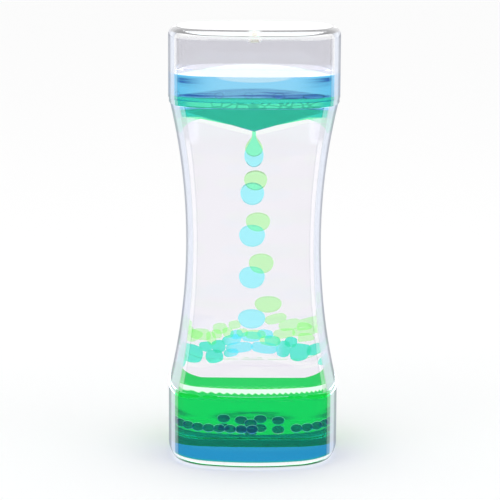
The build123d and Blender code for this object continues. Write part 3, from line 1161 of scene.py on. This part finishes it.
class TIMER_OT_dividers(bpy.types.Operator):
    """Clear sheets that keep the front and rear chambers apart."""

    bl_idname = "timer.dividers"
    bl_label = "Dividers"
    bl_options = {"REGISTER", "UNDO"}

    def execute(self, context):
        half = divider_room - shape().clearance
        wet = clear_finish("sheet_wet", SHEET_TINT, SHEET_TO_LIQUID)
        dry = clear_finish("sheet_dry", colours().acrylic, ACRYLIC_TO_AIR)
        top_sheet = full_room("top_divider_clear", 1)
        bottom_sheet = full_room("bottom_divider_clear", -1)
        middle_sheet = tube_room("middle_divider_clear")
        for sheet in (top_sheet, bottom_sheet, middle_sheet):
            cut(sheet, (0, half, 0), (0, 1, 0))
            cut(sheet, (0, -half, 0), (0, -1, 0))
        cut(top_sheet, (0, 0, liquid_top), (0, 0, 1), fill=False, clear=False)

        def choose(centre, normal):
            return 1 if centre.z > liquid_top else 0

        complete(top_sheet, "top_divider", "clear_acrylic", [wet, dry], choose)
        complete(middle_sheet, "middle_divider", "clear_acrylic", [wet])
        complete(bottom_sheet, "bottom_divider", "clear_acrylic", [wet])
        return {"FINISHED"}


def blue_shade_and_highlights(finish, colour):
    """Upper blue: painted shade as a dark crescent, where the green surface below reflects dim
    surroundings, as a dark wedge at each side and as bubbles' dark outlines, and a white bulge of
    painted highlight.
    """
    across, depth, up = finish.place()
    side = across * across * (1 / room_half**2)
    height = up - ledge
    streak = finish.smooth(finish.pattern(STREAK_GRAIN), *STREAK_EDGES)
    # Painted shade: a dark crescent where the green surface below reflects dim surroundings, thinned
    # by streaks
    roof = height + side * CRESCENT_DROP - CRESCENT_HEIGHT
    crescent = finish.smooth(height, *CRESCENT_FOOT) - finish.smooth(roof, *CRESCENT_ROOF)
    crescent = finish.smooth(crescent, 0.0, 1.0) * at_least(LEAST_CRESCENT, streak)
    # Painted shade: a dark wedge at each side
    wedge = finish.smooth(height - side * WEDGE_DROP, *WEDGE_FOOT)
    wedge = wedge - finish.smooth(height, *WEDGE_ROOF)
    wedge = finish.smooth(side, *WEDGE_SIDES) * wedge * at_least(LEAST_WEDGE, streak)
    # Painted highlight: a white bulge just under the liquid's surface
    sag = (liquid_top - up) * (liquid_top - up) * (1 / BULGE_DEPTH**2)
    bulge = 1 - finish.smooth(across * across * (1 / BULGE_HALF**2) + sag, *BULGE_EDGES)
    # Painted shade: thin dark outlines of bubbles in a strip under the ledge
    edges = {"feature": "DISTANCE_TO_EDGE"}
    cells = finish.pattern(BUBBLE_GRAIN, "Voronoi", "Distance", edges)
    rings = (1 - finish.smooth(cells, *BUBBLE_OUTLINE)) * finish.band(height, *BUBBLE_EDGES)
    rings = rings * finish.smooth(across, *BUBBLE_LEFT) * (1 - finish.smooth(side, *BUBBLE_RIGHT))
    front = finish.smooth(0 - depth, *FRONT_WALL)
    shown = finish.blend(finish.smooth(side, *PALE_SIDES), PALE_BLUE, colour)
    for share, laid in (
        (finish.band(height, *STRIP_EDGES), WHITE),
        (1 - finish.smooth(height, *STRIP_EDGES[:2]), DEEP_TEAL),
        (rings * BUBBLE_COVER, BUBBLE_LINE),
        (bulge, WHITE),
        (crescent, CRESCENT_BLUE),
        (wedge, WEDGE_BLUE),
    ):
        shown = finish.blend(share * front, shown, laid)
    return shown


def highlight_lens_surface(finish, colour):
    """Liquid's top face: a bright lens of painted highlight, and corners of painted shade that glow
    as grey as the wall behind them looks, over a dark tint that hides what lies beyond.
    """
    across, depth, _ = finish.place()
    bow = LENS_REAR - across * across * (LENS_BOW / LENS_HALF**2)
    corner = finish.smooth(depth - bow, *LENS_EDGES)
    # The top face glows: a painted highlight in the lens, painted grey shade in the corners
    finish.glow(finish.blend(corner, colour, CORNER_GREY))
    return finish.blend(corner, colour, CORNER_BODY)


class TIMER_OT_upper_liquids(bpy.types.Operator):
    """What is left of each colour in the upper end, and the oil above the green."""

    bl_idname = "timer.upper_liquids"
    bl_label = "Upper liquids"
    bl_options = {"REGISTER", "UNDO"}

    def execute(self, context):
        c = colours()
        choose = surface_at(liquid_top)
        surface = clear_finish(
            "upper_surface", c.surface, LIQUID_TO_AIR, SURFACE_GLOW, highlight_lens_surface
        )
        body_finish = clear_finish("upper_blue_body", c.upper_blue, MATCHED, paint=blue_shade_and_highlights)
        blue = liquid("upper_blue_clear", 1, -1, None, liquid_top)
        complete(blue, "upper_blue_liquid", "blue_liquid", [body_finish, surface], choose)
        body_finish = clear_finish("upper_green_body", c.upper_green, MATCHED)
        green = liquid("upper_green_clear", 1, 1, None, upper_green_level)
        complete(green, "upper_green_liquid", "green_liquid", [body_finish])
        body_finish = clear_finish("upper_oil_body", c.oil, MATCHED)
        oil = liquid(
            "upper_rear_oil_clear", 1, 1, upper_green_level + shape().seam, liquid_top
        )
        complete(oil, "upper_rear_oil", "clear_oil", [body_finish, surface], choose)
        return {"FINISHED"}


class TIMER_OT_oil(bpy.types.Operator):
    """Oil in the tube and under the tent, with a shaft round each drop that falls there."""

    bl_idname = "timer.oil"
    bl_label = "Oil"
    bl_options = {"REGISTER", "UNDO"}

    def execute(self, context):
        s = shape()
        finish = clear_finish("oil_body", colours().oil, MATCHED)
        for name, side in (("front_oil", -1), ("rear_oil", 1)):
            oil = chamber_part(tube_room(name + "_clear"), side)
            complete(oil, name, "clear_oil", [finish])
        for name, side, level, drop in (
            ("lower_front_oil", -1, lower_blue_level, "blue_slot_drop"),
            ("lower_rear_oil", 1, lower_green_level, "green_slot_drops"),
        ):
            oil = liquid(name + "_clear", -1, side, level + s.seam)
            low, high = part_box(drop)
            shaft = box_solid(
                "shaft",
                low - Vector((s.slot_gap, s.slot_gap, s.slot_fall)),
                high + Vector((s.slot_gap, s.slot_gap, s.slot_gap)),
            )
            combine(oil, shaft, "DIFFERENCE")
            complete(oil, name, "clear_oil", [finish])
        return {"FINISHED"}


def teal_depth(finish, colour):
    """Lower blue that turns teal near its floor and near its surface."""
    up = finish.place()[2]
    low = finish.blend(finish.smooth(up, *FLOOR_TEAL_EDGES), FLOOR_TEAL, colour)
    return finish.blend(finish.smooth(up, *SURFACE_BLUE_EDGES), low, SURFACE_BLUE)


def mottled_sides(finish, colour):
    """Lower green with a dark swirl, and uneven sides where small beads cling to the walls."""
    across, _, up = finish.place()
    side = finish.smooth(across * across, *MOTTLE_SIDES)
    spots = finish.smooth(finish.pattern(SPOT_GRAIN, "Voronoi", "Distance"), *SPOT_EDGES)
    patch = finish.smooth(finish.pattern(PATCH_GRAIN), *PATCH_EDGES)
    uneven = finish.blend(spots, MOTTLE_LIGHT, MOTTLE_DARK)
    streak = finish.smooth(finish.pattern(SWIRL_GRAIN), *SWIRL_STREAK)
    rise = (up - SWIRL_HEIGHT) * (up - SWIRL_HEIGHT) * (1 / SWIRL_RISE**2)
    swirl = 1 - finish.smooth(across * across * (1 / SWIRL_HALF**2) + rise, *SWIRL_EDGES)
    plain = finish.blend(swirl * at_least(LEAST_SWIRL, streak), colour, SWIRL_DARK)
    return finish.blend(side * patch * MOTTLE_COVER, plain, uneven)


class TIMER_OT_lower_liquids(bpy.types.Operator):
    """What has collected of each colour in the lower end."""

    bl_idname = "timer.lower_liquids"
    bl_label = "Lower liquids"
    bl_options = {"REGISTER", "UNDO"}

    def execute(self, context):
        c = colours()
        blue = liquid("lower_blue_clear", -1, -1, None, lower_blue_level)
        finishes = [
            clear_finish("lower_blue_body", c.lower_blue, MATCHED, paint=teal_depth),
            clear_finish("lower_blue_surface", c.lower_blue, BLUE_TO_OIL),
        ]
        choose = surface_at(lower_blue_level)
        complete(blue, "lower_blue_liquid", "blue_liquid", finishes, choose)
        green = liquid("lower_green_clear", -1, 1, None, lower_green_level)
        finish = clear_finish("lower_green_body", c.lower_green, MATCHED, paint=mottled_sides)
        complete(green, "lower_green_liquid", "green_liquid", [finish])
        return {"FINISHED"}


# Drops and beads


def shaded_crown(finish, colour):
    """Painted shade: a dark line round the upper side of a drop's outline, stronger on the higher
    drops.
    """
    upward = finish.smooth(finish.upward(), *CROWN_TILT)
    high = finish.smooth(finish.place()[2], middle, ledge)
    rim = finish.smooth(finish.facing(), *CROWN_FACING) * upward
    dark = [CROWN_DARK * c for c in colour]
    return finish.blend(rim * at_least(LEAST_CROWN, high), colour, dark)


def teal_sides(finish, colour):
    """Blue beads that turn teal towards the sides, where green ones lie behind them."""
    across = finish.place()[0]
    side = finish.smooth(across * across, *TEAL_BEAD_SIDES)
    return finish.blend(side, BEAD_CYAN, BEAD_TEAL)


def pale_rim(finish, colour):
    """Bead whose upper outline catches the light, as a painted highlight, over a faint painted glow.
    """
    upward = finish.smooth(finish.upward(), *RIM_TILT)
    rim = finish.smooth(finish.facing(), *RIM_FACING) * upward
    finish.glow(finish.blend(rim * GLINT_COVER, BEAD_GLOW, RIM_GLOW))
    return finish.blend(rim * GLINT_TINT, colour, RIM_TINT)


def shaded_rim(finish, colour):
    """Bubble with a thin dark outline of painted shade."""
    rim = finish.smooth(finish.facing(), *BUBBLE_FACING)
    return finish.blend(rim * RIM_COVER, colour, BUBBLE_RIM)


def water_finish(colour, kind, paint):
    """Drops or settled beads of coloured water in oil, with a faint painted glow."""
    tints = {"blue": colours().drop_blue, "green": colours().drop_green}
    return clear_finish(colour + "_" + kind, tints[colour], MATCHED, WATER_GLOW, paint)


def ball(name, centre, half_sizes, flat_top, square, segments, tilt=0.0):
    """Drop or bead: a ball that is squeezed, flattened on top and tilted."""
    deselect()
    bpy.ops.mesh.primitive_uv_sphere_add(segments=segments, ring_count=segments // 2, radius=1)
    piece = bpy.context.object
    piece.name = name
    bpy.ops.object.modifier_add(type="CAST")
    modifier = piece.modifiers[-1]
    modifier.cast_type = "CUBOID"
    modifier.factor = square
    bpy.ops.object.modifier_apply(modifier=modifier.name)
    mesh = piece.data
    reach = max(abs(v.co.x) for v in mesh.vertices)
    edit(piece)
    bpy.ops.transform.resize(value=[h / reach for h in half_sizes], center_override=(0, 0, 0))
    end_edit()
    for vertex in mesh.vertices:
        vertex.select = vertex.co.z > 0
    for part in (*mesh.edges, *mesh.polygons):
        part.select = all(mesh.vertices[v].select for v in part.vertices)
    bpy.ops.object.mode_set(mode="EDIT")
    bpy.ops.transform.resize(value=(1, 1, flat_top), center_override=(0, 0, 0))
    bpy.ops.mesh.select_all(action="SELECT")
    if tilt:
        bpy.ops.transform.rotate(value=-tilt, orient_axis="Y", center_override=(0, 0, 0))
    bpy.ops.transform.translate(value=centre)
    end_edit()
    return piece


def pendant_profile(width, low, high):
    """Outline of a hanging drop: a round lower end and a neck that fades into the nozzle."""
    bulge = low + (plate_low.z - low) * PENDANT_BULGE
    profile = []
    steps = 12
    for step in range(1, steps + 1):
        turn = math.pi / 2 * step / steps
        profile.append((width * math.sin(turn), bulge - (bulge - low) * math.cos(turn)))
    steps = 20
    for step in range(1, steps + 1):
        along = step / steps
        fade = (1 - along) ** PENDANT_FADE * (1 + PENDANT_FADE * along)
        radius = PENDANT_NECK + (width - PENDANT_NECK) * fade
        profile.append((radius, bulge + (plate_low.z - bulge) * along))
    return profile + [(PENDANT_NECK, high)]


class TIMER_OT_hanging_drops(bpy.types.Operator):
    """Drops that hang from the nozzles, the green one smaller."""

    bl_idname = "timer.hanging_drops"
    bl_label = "Hanging drops"
    bl_options = {"REGISTER", "UNDO"}

    def execute(self, context):
        s = shape()
        for colour, side, fullness in (("blue", -1, 1.0), ("green", 1, GREEN_PENDANT)):
            name = colour + "_pendant_drop"
            low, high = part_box(name)
            bottom = plate_low.z - (plate_low.z - low.z) * (0.5 + 0.5 * fullness)
            profile = pendant_profile(high.x * fullness, bottom, high.z - s.clearance)
            drop = round_solid(name + "_clear", profile, (0, side * s.nozzle_offset))
            finish = water_finish(colour, "drop", shaded_crown)
            complete(drop, name, colour + "_liquid", [finish])
        return {"FINISHED"}


class TIMER_OT_falling_drops(bpy.types.Operator):
    """Drops that fall through the oil."""

    bl_idname = "timer.falling_drops"
    bl_label = "Falling drops"
    bl_options = {"REGISTER", "UNDO"}

    def execute(self, context):
        for colour in ("blue", "green"):
            finish = water_finish(colour, "drop", shaded_crown)
            for index, place in enumerate(("first", "second", "third", "landing")):
                name = colour + "_drop_" + str(index + 1)
                centre, half = centre_and_half(*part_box(name))
                centre.z += half.z * (1 - DROP_FLATNESS) / 2
                half.z *= 2 / (1 + DROP_FLATNESS)
                form = (DROP_FLATNESS, DROP_SQUARENESS, ROUND_SEGMENTS)
                drop = ball(name + "_clear", centre, half, *form)
                rides = place + "_" + colour + "_drop"
                complete(drop, name, colour + "_liquid", [finish], rides=rides)
        return {"FINISHED"}


# Beads on the tent, in millimetres and degrees: place across, height, width, bead's height, tilt
BLUE_BEADS = (
    (-18.4, 29.9, 3.2, 6.5, 8),
    (-15.5, 31.7, 3.3, 5.8, 6),
    (-10.8, 31.4, 5.1, 4.2, -14),
    (-9.7, 34.8, 4.0, 3.9, -16),
    (-6.1, 32.5, 4.2, 2.3, -12),
    (-5.9, 36.7, 5.6, 3.1, -16),
    (-4.6, 38.7, 3.6, 2.6, -10),
    (-0.5, 38.0, 5.6, 3.2, 0),
    (-3.8, 34.2, 7.6, 3.2, -6),
    (3.4, 38.7, 4.5, 2.6, 8),
    (3.2, 34.5, 7.6, 3.6, 8),
    (5.4, 36.7, 4.5, 2.9, 14),
    (8.5, 33.7, 4.0, 5.3, 6),
    (12.7, 32.8, 4.8, 5.7, 6),
    (15.9, 33.6, 2.4, 3.5, 4),
    (18.4, 34.5, 2.3, 2.9, 0),
    (18.3, 29.4, 4.0, 3.4, 12),
    (-19.3, 25.2, 2.7, 2.9, 0),
    (-13.0, 34.6, 3.0, 3.2, -10),
    (10.6, 36.0, 3.6, 3.0, 10),
)
GREEN_BEADS = (
    (-12.2, 35.2, 2.7, 3.8, -8),
    (-10.6, 33.9, 2.5, 4.4, -6),
    (-8.4, 37.5, 3.8, 3.6, -12),
    (-6.4, 36.3, 2.9, 3.2, -10),
    (-4.7, 38.7, 3.1, 2.6, -14),
    (5.7, 40.7, 5.8, 3.2, -18),
    (9.4, 38.9, 5.9, 3.6, -14),
    (8.0, 36.0, 5.8, 3.2, -8),
    (11.9, 38.0, 1.5, 2.6, 4),
    (12.9, 36.6, 1.1, 2.8, 4),
    (12.2, 34.6, 1.2, 3.0, 6),
    (13.8, 35.0, 1.0, 2.8, 4),
    (-2.7, 36.0, 3.0, 2.6, -8),
    (0.6, 35.6, 5.4, 3.0, 2),
    (4.4, 33.6, 5.6, 3.0, 10),
    (11.4, 36.2, 2.8, 2.8, 6),
    (-9.2, 35.4, 2.6, 2.8, -8),
)


class TIMER_OT_settled_beads(bpy.types.Operator):
    """Beads that lie on the tent in layers."""

    bl_idname = "timer.settled_beads"
    bl_label = "Settled beads"
    bl_options = {"REGISTER", "UNDO"}

    def execute(self, context):
        for colour, side, beads, paint in (
            ("blue", -1, BLUE_BEADS, teal_sides),
            ("green", 1, GREEN_BEADS, cloudy),
        ):
            made = []
            for number, (across, up, width, height, tilt) in enumerate(beads):
                depth = BEAD_DEPTH + BEAD_DEPTH_CHANGE * math.sin(number * BEAD_DEPTH_TURN)
                away = side * shape().nozzle_offset
                away += BEAD_STAGGER * math.sin(number * BEAD_STAGGER_TURN)
                centre = (across * MM, away, up * MM)
                half_sizes = (width * MM / 2, depth, height * MM / 2)
                form = (1, BEAD_SQUARENESS, BEAD_SEGMENTS, math.radians(tilt))
                made.append(ball("bead", centre, half_sizes, *form))
            name = colour + "_settled_beads"
            joined = join_all(name + "_clear", made)
            complete(joined, name, colour + "_liquid", [water_finish(colour, "bead", paint)])
        return {"FINISHED"}


class TIMER_OT_slot_drops(bpy.types.Operator):
    """Small drops that leave through the slots."""

    bl_idname = "timer.slot_drops"
    bl_label = "Slot drops"
    bl_options = {"REGISTER", "UNDO"}

    def execute(self, context):
        for colour, name, rides, count, flat_top, square in (
            ("blue", "blue_slot_drop", "blue_drop_in_slot", 1, 1.0, 0.2),
            ("green", "green_slot_drops", "green_drops_in_slot", 2, 0.9, 0.1),
        ):
            low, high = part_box(name)
            centre, half = centre_and_half(low, high)
            if count > 1:
                half.z = SLOT_DROP_HALF
            made = []
            for z in (low.z + half.z, high.z - half.z)[:count]:
                place = (centre.x, centre.y, z)
                made.append(ball("bead", place, half, flat_top, square, BEAD_SEGMENTS))
            joined = join_all(name + "_clear", made)
            finish = water_finish(colour, "drop", shaded_crown)
            complete(joined, name, colour + "_liquid", [finish], rides=rides)
        return {"FINISHED"}


def loose_boxes(source):
    """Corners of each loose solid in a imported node."""
    mesh = source.data
    parent = list(range(len(mesh.vertices)))
    welded = {}

    def root(item):
        while parent[item] != item:
            parent[item] = parent[parent[item]]
            item = parent[item]
        return item

    for vertex in mesh.vertices:
        first = welded.setdefault(tuple(round(c, 7) for c in vertex.co), vertex.index)
        parent[root(vertex.index)] = root(first)
    for edge in mesh.edges:
        parent[root(edge.vertices[0])] = root(edge.vertices[1])
    groups = {}
    for vertex in mesh.vertices:
        groups.setdefault(root(vertex.index), []).append(vertex.co)
    boxes = []
    for places in groups.values():
        low = Vector([min(p[axis] for p in places) for axis in range(3)])
        high = Vector([max(p[axis] for p in places) for axis in range(3)])
        boxes.append((low, high))
    return boxes


class TIMER_OT_surface_beads(bpy.types.Operator):
    """Beads, froth and bubbles where two liquids meet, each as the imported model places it."""

    bl_idname = "timer.surface_beads"
    bl_label = "Surface beads"
    bl_options = {"REGISTER", "UNDO"}

    def execute(self, context):
        c = colours()
        # The froth glows faintly, and brightly along its upper outline: painted light
        blue = clear_finish("blue_froth", c.froth_blue, FROTH_TO_OIL, 1.0, pale_rim)
        green = clear_finish("green_froth", c.froth_green, FROTH_TO_OIL, 1.0, pale_rim)
        bubble = clear_finish("oil_bubble", c.oil, BUBBLE_TO_OIL, paint=shaded_rim)
        for name, slot, spread, finish in (
            ("blue_floating_beads", "blue_liquid", BEAD_SPREAD, blue),
            ("green_froth", "green_liquid", FROTH_SPREAD, green),
            ("oil_bubbles", "clear_oil", 1.0, bubble),
        ):
            made = []
            form = (FROTH_FLATNESS, FROTH_SQUARENESS, FROTH_SEGMENTS)
            for corners in loose_boxes(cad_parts[name]):
                centre, half = centre_and_half(*corners)
                half.x *= spread
                made.append(ball("bead", centre, half, *form))
            complete(join_all(name + "_clear", made), name, slot, [finish])
        return {"FINISHED"}


# Stage


def path_shares(finish):
    """Light path, 1 for light that comes through clear pieces, and 1 for pure reflections."""
    path = finish.node("ShaderNodeLightPath")
    through = finish.amount(path.outputs["Is Transmission Ray"])
    return path, through, finish.amount(path.outputs["Is Glossy Ray"]) * (1 - through)


class TIMER_OT_stage(bpy.types.Operator):
    """Camera, floor, surroundings and lamps."""

    bl_idname = "timer.stage"
    bl_label = "Stage"
    bl_options = {"REGISTER", "UNDO"}

    def execute(self, context):
        self.make_camera()
        self.make_floor()
        self.make_sky()
        self.make_lamps()
        cycles = bpy.context.scene.cycles
        cycles.max_bounces = LIGHT_BOUNCES
        cycles.transmission_bounces = LIGHT_BOUNCES
        cycles.transparent_max_bounces = LIGHT_BOUNCES
        cycles.glossy_bounces = GLOSSY_BOUNCES
        bpy.context.scene.view_settings.view_transform = "Standard"
        return {"FINISHED"}

    def make_camera(self):
        s = stage()
        data = bpy.data.cameras.new("camera")
        camera = bpy.data.objects.new("camera", data)
        bpy.context.scene.collection.objects.link(camera)
        turn = Matrix.Rotation(math.pi / 2 - s.camera_pitch, 4, "X")
        turn = turn @ Matrix.Rotation(s.camera_roll, 4, "Z")
        place = Matrix.Translation((0, -s.camera_distance, s.camera_height))
        camera.matrix_world = place @ turn
        data.lens = s.focal_pixels / s.picture_pixels * data.sensor_width
        data.shift_x = 0.5 - s.axis_across / s.picture_pixels
        data.shift_y = s.axis_down / s.picture_pixels - 0.5
        data.clip_end = 100
        bpy.context.scene.camera = camera

    def make_floor(self):
        deselect()
        bpy.ops.mesh.primitive_plane_add(size=stage().floor_size, location=(0, 0, 0))
        floor = bpy.context.object
        floor.name = "floor"
        material, finish = new_finish("floor_white")
        finish.put("Base Color", FLOOR_WHITE)
        finish.put("Roughness", 1.0)
        finish.put("Specular IOR Level", 0.0)
        shader = material.node_tree.nodes["Principled BSDF"]
        _, through, mirrored = path_shares(finish)
        dimmed = mirrored * (1 - stage().reflected_floor)
        dim = finish.node("ShaderNodeMixShader", {}, {0: dimmed, 1: shader.outputs[0]})
        bright = finish.node("ShaderNodeEmission", {}, {"Color": WHITE, "Strength": 1.0})
        lit = finish.node(
            "ShaderNodeMixShader", {}, {0: through, 1: dim.outputs[0], 2: bright.outputs[0]}
        )
        finish.feed(material.node_tree.nodes["Material Output"].inputs[0], lit.outputs[0])
        floor.data.materials.append(material)

    def make_sky(self):
        s = stage()
        world = bpy.data.worlds.new("surroundings")
        bpy.context.scene.world = world
        world.use_nodes = True
        sky = Finish(world.node_tree)
        background = world.node_tree.nodes["Background"]
        sky.feed(background.inputs["Color"], WHITE)
        direction = sky.node("ShaderNodeTexCoord").outputs["Generated"]
        overhead = sky.smooth(sky.parts(direction)[2], *HIGH_SKY_EDGES)
        seen = s.sky + overhead * (s.high_sky - s.sky)
        path, _, mirrored = path_shares(sky)
        diffuse = sky.amount(path.outputs["Is Diffuse Ray"])
        level = seen + diffuse * (s.sky - seen) + mirrored * (s.reflected_sky - seen)
        sky.feed(background.inputs["Strength"], level)

    def make_lamps(self):
        s = stage()
        for name, place, width, power in (
            ("key_lamp", (-0.5, -0.5, 0.8), 0.6, s.lamp_power),
            ("fill_lamp", (0.6, -0.3, 0.7), 0.5, s.lamp_power * FILL_LAMP_SHARE),
        ):
            data = bpy.data.lights.new(name, "AREA")
            data.size = width
            data.energy = power
            lamp = bpy.data.objects.new(name, data)
            bpy.context.scene.collection.objects.link(lamp)
            lamp.location = place
            aim = Vector((0, 0, middle)) - Vector(place)
            lamp.rotation_euler = aim.to_track_quat("-Z", "Y").to_euler()


OPERATORS = (
    TIMER_OT_cups,
    TIMER_OT_plugs,
    TIMER_OT_tube,
    TIMER_OT_plates,
    TIMER_OT_dividers,
    TIMER_OT_upper_liquids,
    TIMER_OT_oil,
    TIMER_OT_lower_liquids,
    TIMER_OT_hanging_drops,
    TIMER_OT_falling_drops,
    TIMER_OT_settled_beads,
    TIMER_OT_slot_drops,
    TIMER_OT_surface_beads,
    TIMER_OT_stage,
)


class TIMER_PT_panel(bpy.types.Panel):
    """Buttons for each group of pieces, and the sizes and colours."""

    bl_idname = "TIMER_PT_panel"
    bl_label = "Liquid Motion Timer"
    bl_space_type = "VIEW_3D"
    bl_region_type = "UI"
    bl_category = "Timer"

    def draw(self, context):
        for operator in OPERATORS:
            self.layout.operator(operator.bl_idname)
        for group in (shape(), colours(), stage()):
            column = self.layout.column()
            for name in group.__annotations__:
                column.prop(group, name)


SETTINGS = {
    "timer_shape": TimerShape,
    "timer_colours": TimerColours,
    "timer_stage": TimerStage,
}
CLASSES = (*SETTINGS.values(), *OPERATORS, TIMER_PT_panel)


def register():
    """Make the settings, operators and panel known."""
    for item in CLASSES:
        bpy.utils.register_class(item)
    for name, group in SETTINGS.items():
        setattr(bpy.types.Scene, name, bpy.props.PointerProperty(type=group))


def unregister():
    """Take them away again."""
    for name in SETTINGS:
        delattr(bpy.types.Scene, name)
    for item in reversed(CLASSES):
        bpy.utils.unregister_class(item)


def main():
    """Build the whole scene."""
    register()
    for operator in OPERATORS:
        name = operator.bl_idname.split(".")[1]
        getattr(bpy.ops.timer, name)()


if __name__ == "__main__":
    main()
